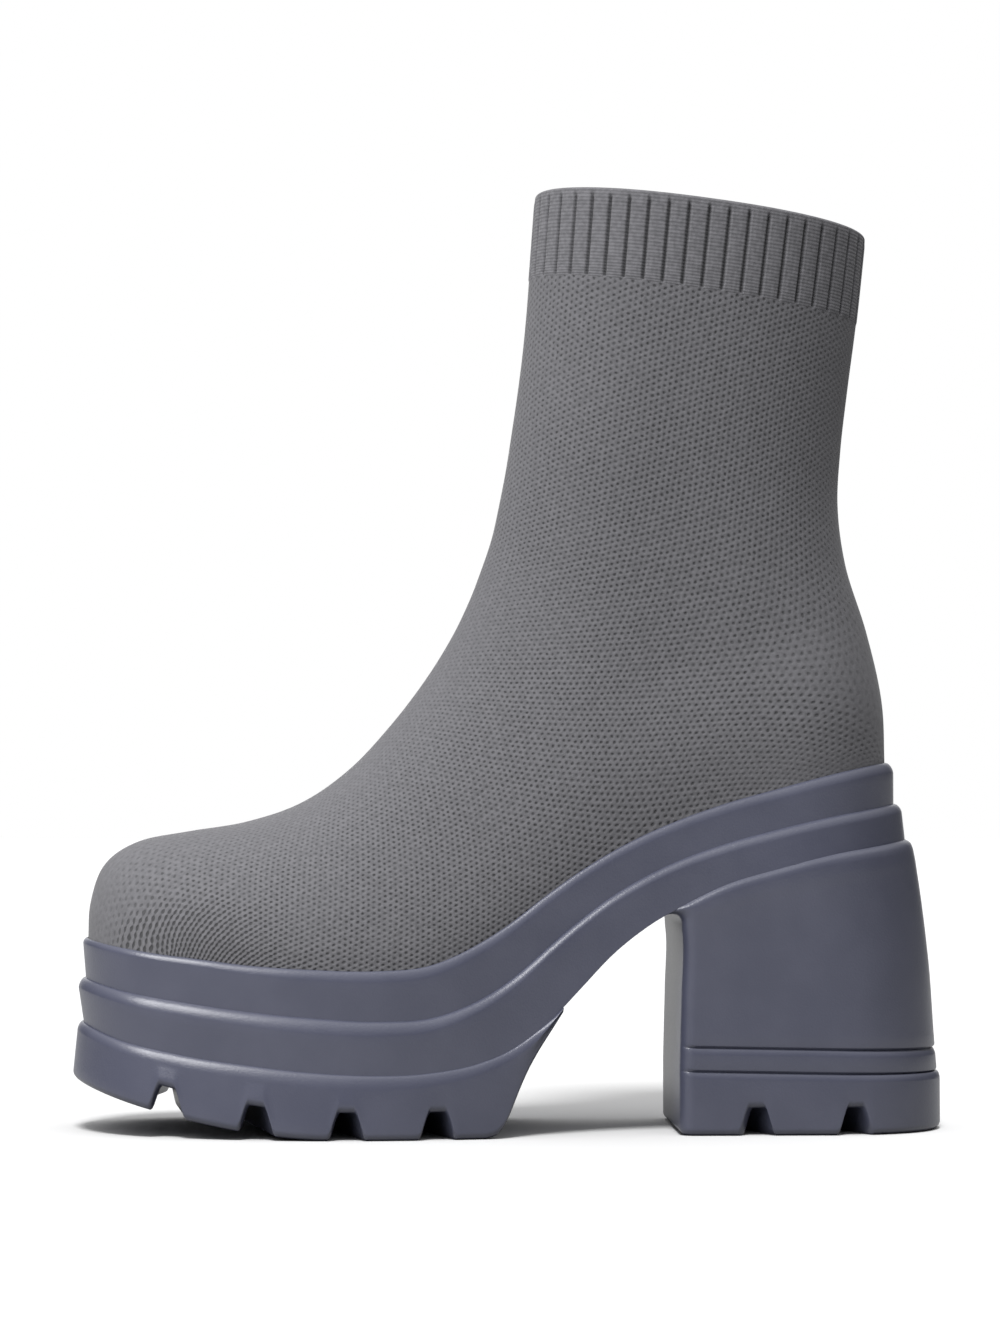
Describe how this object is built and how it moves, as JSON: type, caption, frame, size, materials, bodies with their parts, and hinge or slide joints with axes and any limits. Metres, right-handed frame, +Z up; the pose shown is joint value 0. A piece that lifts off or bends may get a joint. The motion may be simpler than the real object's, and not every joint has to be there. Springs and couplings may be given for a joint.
{
  "type": "knit ankle boot",
  "caption": "Pull-on knit ankle boot for the left foot, with a ribbed cuff, a stepped platform sole, a lugged tread and a block heel.",
  "frame": {"origin": "on the floor, at the middle of the boot's length and width", "axes": "+Z up, toe towards -X, heel towards +X, outer side of the foot towards -Y"},
  "size_m": [0.2674, 0.0958, 0.2895],
  "materials": {
    "knit": "matt grey eyelet knit with a ribbed cuff",
    "footbed": "matt dark grey cloth",
    "sole_rubber": "satin blue-grey moulded rubber"
  },
  "bodies": {
    "root": {"upper": "knit", "insole": "footbed", "midsole": "sole_rubber", "outsole": "sole_rubber", "heel_block": "sole_rubber", "heel_top_piece": "sole_rubber"}
  },
  "joints": []
}
